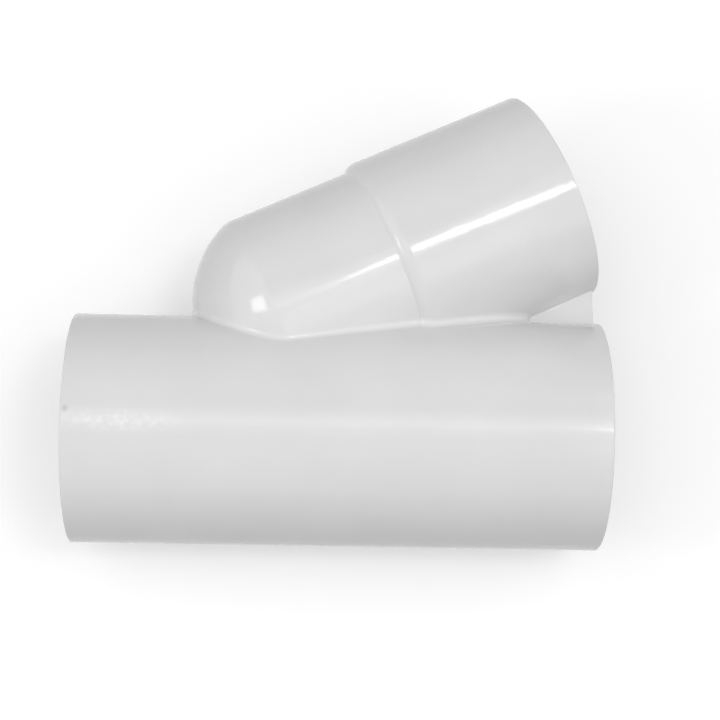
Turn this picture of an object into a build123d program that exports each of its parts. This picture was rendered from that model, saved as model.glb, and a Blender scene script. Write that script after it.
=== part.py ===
from build123d import *
import math
import os

os.makedirs("parts", exist_ok=True)

# Lateral wye fitting: one hollow moulding of white plastic, in millimetres, with +Z up.
# It lies on its side. X follows the straight run from the inlet mouth to the outlet mouth,
# the branch leans over the outlet toward +Y, and XY is the plane of symmetry.
# The origin is the centre of the inlet mouth.

# Pipes that push into the sockets, and the slide fit round them
run_pipe_od = 114.3
branch_pipe_od = 110.0
socket_clearance = 0.2
socket_depth = 50.0

# Shell
wall = 3.4
run_stop_height = 3.0

# Run, measured each way from the centre of the branch's domed heel
inlet_length = 119.2
outlet_length = 159.3

# Branch, measured along its own axis from the centre of its heel
branch_angle = 25.0
heel_height = 72.3
heel_edge_angle = 21.0
heel_edge_round = 10.0
heel_edge_break = 2.0
step_distance = 49.4
step_height = 3.5
step_shoulder_round = 8.5
mouth_distance = 150.8

# Web that ties the branch to the run at the outlet
web_thickness = 3.0
web_inset = 0.3

# Rounds and lead-ins
mouth_round = 0.9
socket_lead_in = 0.9
ledge_chamfer = 0.5
junction_round = 3.0
web_root_round = 1.2
web_edge_round = 0.8
crotch_round = 1.5

# Sizes that follow from the pipes, the wall and the lengths
run_length = inlet_length + outlet_length
run_socket_r = run_pipe_od / 2 + socket_clearance
run_outer_r = run_socket_r + wall
run_bore_r = run_socket_r - run_stop_height
branch_socket_r = branch_pipe_od / 2 + socket_clearance
branch_socket_outer_r = branch_socket_r + wall
branch_body_r = branch_socket_outer_r - step_height
branch_bore_r = branch_body_r - wall
branch_stop = mouth_distance - socket_depth
heel_radius = branch_body_r / math.cos(math.radians(heel_edge_angle))
step_length = math.sqrt(step_shoulder_round**2 - (step_shoulder_round - step_height) ** 2)

lean = math.radians(branch_angle)
branch_direction = (math.cos(lean), math.sin(lean), 0)
branch_plane = Plane(origin=(inlet_length, heel_height, 0), x_dir=branch_direction, z_dir=(0, 0, 1))
branch_axis = Axis((inlet_length, heel_height, 0), branch_direction)
run_axis = Axis((0, 0, 0), (1, 0, 0))
corner_cut = 1 - math.sqrt(0.5)


def arc_middle(centre, radius, start, end):
    """Point halfway round the arc from start to end."""
    first = math.atan2(start[1] - centre[1], start[0] - centre[0])
    last = math.atan2(end[1] - centre[1], end[0] - centre[0])
    turn = (first + last) / 2
    return centre[0] + radius * math.cos(turn), centre[1] + radius * math.sin(turn)


# Outside of the run: a plain tube with both mouths rounded
with BuildPart() as run_outside:
    with BuildSketch(Plane.XY):
        with BuildLine():
            near_mouth = (0, run_outer_r - mouth_round)
            near_side = (mouth_round, run_outer_r)
            far_side = (run_length - mouth_round, run_outer_r)
            far_mouth = (run_length, run_outer_r - mouth_round)
            cut = mouth_round * corner_cut
            Line((0, 0), near_mouth)
            ThreePointArc(near_mouth, (cut, run_outer_r - cut), near_side)
            Line(near_side, far_side)
            ThreePointArc(far_side, (run_length - cut, run_outer_r - cut), far_mouth)
            Polyline(far_mouth, (run_length, 0), (0, 0))
        make_face()
    revolve(axis=run_axis)

# Outside of the branch: domed heel, body, sloping step up to the socket, rounded mouth
with BuildPart() as branch_outside:
    with BuildSketch(branch_plane):
        with BuildLine():
            # The dome is a cap of a ball wider than the body, so it ends in a blunt edge. The
            # round on that edge stops just short of tangent to the body, which ends the
            # junction's round there and leaves the corner under the dome crisp.
            gap = math.radians(heel_edge_break)
            round_y = branch_body_r - heel_edge_round * math.cos(gap)
            round_x = -math.sqrt((heel_radius - heel_edge_round) ** 2 - round_y**2)
            round_centre = (round_x, round_y)
            grow = heel_radius / (heel_radius - heel_edge_round)
            heel_tip = (-heel_radius, 0)
            on_dome = (round_x * grow, round_y * grow)
            on_body = (round_x - heel_edge_round * math.sin(gap), branch_body_r)
            step_foot = (step_distance, branch_body_r)
            step_top = (step_distance + step_length, branch_socket_outer_r)
            mouth_side = (mouth_distance - mouth_round, branch_socket_outer_r)
            mouth_face = (mouth_distance, branch_socket_outer_r - mouth_round)
            ThreePointArc(heel_tip, arc_middle((0, 0), heel_radius, heel_tip, on_dome), on_dome)
            edge_middle = arc_middle(round_centre, heel_edge_round, on_dome, on_body)
            ThreePointArc(on_dome, edge_middle, on_body)
            Line(on_body, step_foot)
            shoulder_centre = (step_top[0], branch_socket_outer_r - step_shoulder_round)
            shoulder_middle = arc_middle(shoulder_centre, step_shoulder_round, step_foot, step_top)
            ThreePointArc(step_foot, shoulder_middle, step_top)
            Line(step_top, mouth_side)
            cut = mouth_round * corner_cut
            ThreePointArc(
                mouth_side, (mouth_distance - cut, branch_socket_outer_r - cut), mouth_face
            )
            Polyline(mouth_face, (mouth_distance, 0), heel_tip)
        make_face()
    revolve(axis=branch_axis)

# The two tubes become one shell, with the corner between them rounded ahead of the heel
shell = run_outside.part + branch_outside.part
seam = new_edges(run_outside.part, branch_outside.part, combined=shell)
seam_ahead = seam.filter_by(lambda edge: (edge @ 0.5).X > inlet_length)
shell = shell.fillet(junction_round, seam_ahead)

# Web: a flat plate on the plane of symmetry that fills the corner up to both mouths
with BuildPart() as web:
    with BuildSketch(Plane.XY):
        with BuildLine():
            edge_x = run_length - web_inset
            in_run = run_outer_r - wall / 2
            in_branch = heel_height - (branch_socket_outer_r - wall / 2) / math.cos(lean)
            web_tip = (inlet_length + (in_run - in_branch) / math.tan(lean), in_run)
            web_top = (edge_x, in_branch + (edge_x - inlet_length) * math.tan(lean))
            Polyline(web_tip, (edge_x, in_run), web_top, web_tip)
        make_face()
    extrude(amount=web_thickness / 2, both=True)
    free_edges = web.edges().filter_by(
        lambda edge: abs((edge @ 0.5).X - edge_x) < 0.01 and abs((edge @ 0.5).Z) > 0.01
    )
    fillet(free_edges, web_edge_round)
webbed = shell + web.part
web_lines = new_edges(shell, web.part, combined=webbed).filter_by(
    lambda edge: abs(abs((edge @ 0.5).Z) - web_thickness / 2) < 0.01
)
webbed = webbed.fillet(web_root_round, web_lines)

# Passage of the run: a socket at each end, each stopped by the ledge of the middle bore
with BuildPart() as run_passage:
    with BuildSketch(Plane.XY):
        with BuildLine():
            Polyline(
                (0, 0),
                (0, run_socket_r + socket_lead_in),
                (socket_lead_in, run_socket_r),
                (socket_depth, run_socket_r),
                (socket_depth, run_bore_r + ledge_chamfer),
                (socket_depth + ledge_chamfer, run_bore_r),
                (run_length - socket_depth - ledge_chamfer, run_bore_r),
                (run_length - socket_depth, run_bore_r + ledge_chamfer),
                (run_length - socket_depth, run_socket_r),
                (run_length - socket_lead_in, run_socket_r),
                (run_length, run_socket_r + socket_lead_in),
                (run_length, 0),
                (0, 0),
            )
        make_face()
    revolve(axis=run_axis)

# Passage of the branch: the hollow of the heel, the bore, the stop ledge and the socket
with BuildPart() as branch_passage:
    with BuildSketch(branch_plane):
        with BuildLine():
            hollow_r = heel_radius - wall
            hollow_tip = (-hollow_r, 0)
            hollow_edge = (-math.sqrt(hollow_r**2 - branch_bore_r**2), branch_bore_r)
            hollow_middle = arc_middle((0, 0), hollow_r, hollow_tip, hollow_edge)
            ThreePointArc(hollow_tip, hollow_middle, hollow_edge)
            Polyline(
                hollow_edge,
                (branch_stop - ledge_chamfer, branch_bore_r),
                (branch_stop, branch_bore_r + ledge_chamfer),
                (branch_stop, branch_socket_r),
                (mouth_distance - socket_lead_in, branch_socket_r),
                (mouth_distance, branch_socket_r + socket_lead_in),
                (mouth_distance, 0),
                hollow_tip,
            )
        make_face()
    revolve(axis=branch_axis)

# Hollow out the shell, then round the crotch where the two passages part
passages = run_passage.part + branch_passage.part
wye = webbed - passages
crotch = new_edges(run_passage.part, branch_passage.part, combined=passages)
crotch_edges = [
    edge
    for edge in wye.edges()
    if any(((edge @ 0.5) - (line @ 0.5)).length < 0.05 for line in crotch)
]
wye_body = wye.fillet(crotch_round, crotch_edges).solid()

export_step(wye_body, "parts/wye_body.step")
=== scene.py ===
from math import cos, radians, sin

import bpy
from mathutils import Matrix, Vector


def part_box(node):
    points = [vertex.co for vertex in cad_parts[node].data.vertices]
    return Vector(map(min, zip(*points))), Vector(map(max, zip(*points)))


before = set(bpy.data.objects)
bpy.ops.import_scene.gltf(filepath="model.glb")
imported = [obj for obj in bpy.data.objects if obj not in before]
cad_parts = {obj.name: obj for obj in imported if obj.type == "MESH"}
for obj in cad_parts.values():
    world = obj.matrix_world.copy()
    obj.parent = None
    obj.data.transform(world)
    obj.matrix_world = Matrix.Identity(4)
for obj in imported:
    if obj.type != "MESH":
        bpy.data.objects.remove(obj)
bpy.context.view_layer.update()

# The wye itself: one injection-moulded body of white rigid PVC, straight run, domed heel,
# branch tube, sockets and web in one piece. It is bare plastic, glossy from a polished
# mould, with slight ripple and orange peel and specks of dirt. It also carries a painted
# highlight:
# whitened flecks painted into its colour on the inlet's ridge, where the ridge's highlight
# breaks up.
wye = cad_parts["wye_body"]


def moulded_white_pvc():
    pvc_ior = 1.53
    tone_low, tone_high = (0.785, 0.785, 0.785, 1.0), (0.81, 0.81, 0.81, 1.0)
    # The whitened colour is a painted highlight for the flecks on the inlet's ridge; the
    # other is dirt.
    painted_glint_white, dirt = (0.88, 0.88, 0.88, 1.0), (0.64, 0.63, 0.615, 1.0)
    gloss_low, gloss_high = 0.06, 0.12
    drift_per_metre, peel_per_metre, grain_per_metre = 22.0, 330.0, 360.0
    dimple_height, ripple_height = 0.00005, 0.00008
    # Where the painted highlight's flecks sit on the inlet's ridge, how far they reach and
    # how far they stretch along the run.
    glint_centre, glint_reach, glint_stretch = (0.030, -0.0088, 0.0601), 0.0066, 5.5
    mouth_speck = ((0.0026, -0.0031, 0.0607), 0.0022)
    upper_step_speck = ((0.1739, 0.0703, 0.0513), 0.0014)
    lower_step_speck = ((0.1773, 0.0636, 0.0469), 0.0018)

    material = bpy.data.materials.new("moulded_white_pvc")
    material.use_nodes = True
    nodes, links = material.node_tree.nodes, material.node_tree.links
    nodes.clear()
    out = nodes.new("ShaderNodeOutputMaterial")
    plastic = nodes.new("ShaderNodeBsdfPrincipled")
    plastic.inputs["IOR"].default_value = pvc_ior
    links.new(plastic.outputs["BSDF"], out.inputs["Surface"])
    place = nodes.new("ShaderNodeTexCoord")

    def noise(per_metre, detail):
        texture = nodes.new("ShaderNodeTexNoise")
        texture.inputs["Scale"].default_value = per_metre
        texture.inputs["Detail"].default_value = detail
        links.new(place.outputs["Object"], texture.inputs["Vector"])
        return texture.outputs["Fac"]

    def ranged(value, from_low, from_high, to_low, to_high):
        """The value moved from one range to another, and held inside it."""
        remap = nodes.new("ShaderNodeMapRange")
        remap.inputs["From Min"].default_value = from_low
        remap.inputs["From Max"].default_value = from_high
        remap.inputs["To Min"].default_value = to_low
        remap.inputs["To Max"].default_value = to_high
        links.new(value, remap.inputs["Value"])
        return remap.outputs["Result"]

    def nearness(spot, stretch, reach):
        """1 at a spot on the moulding, fading to 0 at its reach, longer along the run."""
        offset = nodes.new("ShaderNodeVectorMath")
        offset.operation = "SUBTRACT"
        offset.inputs[1].default_value = spot
        links.new(place.outputs["Object"], offset.inputs[0])
        squeezed = nodes.new("ShaderNodeVectorMath")
        squeezed.operation = "MULTIPLY"
        squeezed.inputs[1].default_value = (1.0 / stretch, 1.0, 1.0)
        links.new(offset.outputs["Vector"], squeezed.inputs[0])
        far = nodes.new("ShaderNodeVectorMath")
        far.operation = "LENGTH"
        links.new(squeezed.outputs["Vector"], far.inputs[0])
        return ranged(far.outputs["Value"], 0.3 * reach, reach, 1.0, 0.0)

    def marked(colour, mark, amount):
        """The colour with a mark's colour over it, by the amount at each point."""
        cover = nodes.new("ShaderNodeMix")
        cover.data_type = "RGBA"
        factor, under, over = cover.inputs[0], cover.inputs[6], cover.inputs[7]
        links.new(amount, factor)
        links.new(colour, under)
        over.default_value = mark
        return cover.outputs[2]

    def bump(height, distance):
        relief = nodes.new("ShaderNodeBump")
        relief.inputs["Strength"].default_value = 1.0
        relief.inputs["Distance"].default_value = distance
        links.new(height, relief.inputs["Height"])
        return relief

    # The tone drifts slowly over the moulding, where its wall cooled unevenly.
    drift = noise(drift_per_metre, 4.0)
    tone = nodes.new("ShaderNodeValToRGB")
    tone.color_ramp.elements[0].position = 0.35
    tone.color_ramp.elements[0].color = tone_low
    tone.color_ramp.elements[1].position = 0.65
    tone.color_ramp.elements[1].color = tone_high
    links.new(drift, tone.inputs["Fac"])

    # Painted highlight: fine whitened flecks painted into the colour on the inlet's ridge,
    # where its highlight breaks up into sparkle.
    glint_flecks = ranged(noise(grain_per_metre, 3.0), 0.38, 0.68, 0.0, 1.0)
    painted_glints = nodes.new("ShaderNodeMath")
    painted_glints.operation = "MULTIPLY"
    links.new(glint_flecks, painted_glints.inputs[0])
    links.new(nearness(glint_centre, glint_stretch, glint_reach), painted_glints.inputs[1])
    colour = marked(tone.outputs["Color"], painted_glint_white, painted_glints.outputs["Value"])

    # Three specks of dirt: one on the inlet mouth's ridge, two along the step.
    for spot, reach in (mouth_speck, upper_step_speck, lower_step_speck):
        colour = marked(colour, dirt, nearness(spot, 1.0, reach))
    links.new(colour, plastic.inputs["Base Color"])

    # Orange peel, shallow dimples about three millimetres across, over a slow ripple.
    peel = noise(peel_per_metre, 3.0)
    links.new(ranged(peel, 0.3, 0.7, gloss_low, gloss_high), plastic.inputs["Roughness"])
    dimples = bump(peel, dimple_height)
    ripple = bump(drift, ripple_height)
    links.new(dimples.outputs["Normal"], ripple.inputs["Normal"])
    links.new(ripple.outputs["Normal"], plastic.inputs["Normal"])
    return material


wye.data.materials[0] = moulded_white_pvc()

# The studio floor: a wide pale matt sheet that the fitting lies on, touching its lowest
# line. It shows white, and it keeps the soft shadow that the fitting throws on it.
low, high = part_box("wye_body")
floor_reach = 4.0
floor_mesh = bpy.data.meshes.new("floor")
floor_mesh.from_pydata(
    [(-floor_reach, -floor_reach, low.z), (floor_reach, -floor_reach, low.z),
     (floor_reach, floor_reach, low.z), (-floor_reach, floor_reach, low.z)],
    [], [(0, 1, 2, 3)])
floor = bpy.data.objects.new("floor", floor_mesh)
bpy.context.scene.collection.objects.link(floor)


def background_rays(tree):
    """1 for rays that see the background: straight, mirrored or through glass."""
    path = tree.nodes.new("ShaderNodeLightPath")
    straight_or_mirrored = tree.nodes.new("ShaderNodeMath")
    straight_or_mirrored.operation = "MAXIMUM"
    tree.links.new(path.outputs["Is Camera Ray"], straight_or_mirrored.inputs[0])
    tree.links.new(path.outputs["Is Glossy Ray"], straight_or_mirrored.inputs[1])
    any_of_them = tree.nodes.new("ShaderNodeMath")
    any_of_them.operation = "MAXIMUM"
    tree.links.new(straight_or_mirrored.outputs["Value"], any_of_them.inputs[0])
    tree.links.new(path.outputs["Is Transmission Ray"], any_of_them.inputs[1])
    return any_of_them.outputs["Value"]


def pale_floor():
    lighting_tone, seen_tone = (0.22, 0.22, 0.22, 1.0), (0.85, 0.85, 0.85, 1.0)
    white = (1.0, 1.0, 1.0, 1.0)
    glow_near, glow_far = 0.32, 1.0
    glow_start, glow_end = 0.8, 1.9

    material = bpy.data.materials.new("pale_floor")
    material.use_nodes = True
    nodes, links = material.node_tree.nodes, material.node_tree.links
    nodes.clear()
    out = nodes.new("ShaderNodeOutputMaterial")
    matt = nodes.new("ShaderNodeBsdfDiffuse")
    matt.inputs["Color"].default_value = lighting_tone
    seen_matt = nodes.new("ShaderNodeBsdfDiffuse")
    seen_matt.inputs["Color"].default_value = seen_tone
    seen_glow = nodes.new("ShaderNodeEmission")
    seen_glow.inputs["Color"].default_value = white

    # The glow grows where the lamps no longer reach, so the sheet runs out into white.
    place = nodes.new("ShaderNodeTexCoord")
    distance = nodes.new("ShaderNodeVectorMath")
    distance.operation = "LENGTH"
    links.new(place.outputs["Object"], distance.inputs[0])
    glow = nodes.new("ShaderNodeMapRange")
    glow.inputs["From Min"].default_value = glow_start
    glow.inputs["From Max"].default_value = glow_end
    glow.inputs["To Min"].default_value = glow_near
    glow.inputs["To Max"].default_value = glow_far
    links.new(distance.outputs["Value"], glow.inputs["Value"])
    links.new(glow.outputs["Result"], seen_glow.inputs["Strength"])

    seen = nodes.new("ShaderNodeAddShader")
    links.new(seen_matt.outputs["BSDF"], seen.inputs[0])
    links.new(seen_glow.outputs["Emission"], seen.inputs[1])
    choose = nodes.new("ShaderNodeMixShader")
    links.new(background_rays(material.node_tree), choose.inputs["Fac"])
    links.new(matt.outputs["BSDF"], choose.inputs[1])
    links.new(seen.outputs["Shader"], choose.inputs[2])
    links.new(choose.outputs["Shader"], out.inputs["Surface"])
    return material


floor.data.materials.append(pale_floor())


# The lamps: large soft boxes around and above the fitting, and a small lamp on the left for
# the bright spot on the heel. Three tubes end to end, high on the right, leave the thin
# bright line along the socket, and a fourth carries it faintly on along the branch.
def lamp(name, centre, aim, size, power):
    light = bpy.data.lights.new(name, "AREA")
    light.shape = "RECTANGLE"
    light.size, light.size_y = size
    light.energy = power
    obj = bpy.data.objects.new(name, light)
    bpy.context.scene.collection.objects.link(obj)
    back = (Vector(centre) - Vector(aim)).normalized()
    side = Vector((0.0, 1.0, 0.0)).cross(back).normalized()
    obj.matrix_world = Matrix.Translation(centre) @ Matrix(
        (side, back.cross(side), back)).transposed().to_4x4()
    return obj


middle = (0.14, 0.04, 0.0)
heel_crown = (0.10, 0.055, 0.05)
branch_ridge, socket_ridge = (0.17, 0.08, 0.05), (0.22, 0.10, 0.05)
below_strip = (0.17, -0.085, 0.0)
lamp("left_soft_box", (-1.15, 0.04, 1.25), middle, (2.2, 2.4), 12.1)
lamp("right_soft_box", (1.40, 0.04, 1.25), middle, (2.2, 2.4), 13.6)
lamp("front_soft_box", (0.14, -1.30, 1.15), middle, (2.2, 2.0), 5.5)
lamp("rear_soft_box", (0.14, 1.2, 1.1), middle, (1.4, 1.4), 1.2)
lamp("overhead_soft_box", (0.17, -0.12, 1.6), middle, (1.0, 0.7), 1.7)
lamp("overhead_strip", (0.17, -0.085, 1.5), below_strip, (0.9, 0.22), 0.5)
lamp("far_left_lamp", (-0.85, -0.28, 0.9), heel_crown, (0.30, 0.32), 1.5)
for name, centre, length, width, watts_per_area in (
        ("tube_near", (1.220, -0.165, 4.0), 0.23, 0.36, 34.0),
        ("tube_middle", (1.465, -0.210, 4.0), 0.18, 0.46, 46.0),
        ("tube_far", (1.725, -0.280, 4.0), 0.13, 0.46, 52.0)):
    lamp(name, centre, socket_ridge, (length, width), watts_per_area * length * width)
lamp("tube_end", (1.07, -0.30, 4.0), branch_ridge, (0.16, 0.20), 0.9)

# The studio walls: grey near the floor and overhead and almost dark between, which gives
# the plastic its soft shading. Past the floor's edge they show as a plain white backdrop.
low_grey, dark, high_grey = (
    (0.50, 0.50, 0.50, 1.0), (0.03, 0.03, 0.03, 1.0), (0.50, 0.50, 0.50, 1.0))
backdrop_white = (1.0, 1.0, 1.0, 1.0)
world = bpy.data.worlds.new("studio")
bpy.context.scene.world = world
world.use_nodes = True
walls = world.node_tree
walls.nodes.clear()
walls_out = walls.nodes.new("ShaderNodeOutputWorld")
heading = walls.nodes.new("ShaderNodeTexCoord")
height = walls.nodes.new("ShaderNodeSeparateXYZ")
walls.links.new(heading.outputs["Generated"], height.inputs["Vector"])
grey = walls.nodes.new("ShaderNodeValToRGB")
low_stop, high_stop = grey.color_ramp.elements
low_stop.position, low_stop.color = 0.26, low_grey
high_stop.position, high_stop.color = 0.90, high_grey
for position in (0.36, 0.80):
    grey.color_ramp.elements.new(position).color = dark
walls.links.new(height.outputs["Z"], grey.inputs["Fac"])
room = walls.nodes.new("ShaderNodeBackground")
walls.links.new(grey.outputs["Color"], room.inputs["Color"])
backdrop = walls.nodes.new("ShaderNodeBackground")
backdrop.inputs["Color"].default_value = backdrop_white
backdrop.inputs["Strength"].default_value = 1.0
choose = walls.nodes.new("ShaderNodeMixShader")
walls.links.new(background_rays(walls), choose.inputs["Fac"])
walls.links.new(room.outputs["Background"], choose.inputs[1])
walls.links.new(backdrop.outputs["Background"], choose.inputs[2])
walls.links.new(choose.outputs["Shader"], walls_out.inputs["Surface"])

# The camera looks steeply down on the fitting from the run's side, a little left of middle,
# with its picture turned by less than a degree.
eye = Vector((0.122066, -0.197013, 0.918938))
target = Vector((0.151474, 0.040121, 0.0))
roll = radians(0.655)
camera_data = bpy.data.cameras.new("camera")
camera_data.sensor_width = 36.0
camera_data.lens = 87.861
camera_data.clip_start = 0.01
camera_data.clip_end = 50.0
camera = bpy.data.objects.new("camera", camera_data)
bpy.context.scene.collection.objects.link(camera)
bpy.context.scene.camera = camera
back = (eye - target).normalized()
right = Vector((0.0, 1.0, 0.0)).cross(back).normalized()
upright = back.cross(right)
across = cos(roll) * right + sin(roll) * upright
upward = cos(roll) * upright - sin(roll) * right
camera.matrix_world = Matrix.Translation(eye) @ Matrix(
    (across, upward, back)).transposed().to_4x4()

bpy.context.scene.view_settings.view_transform = "Standard"
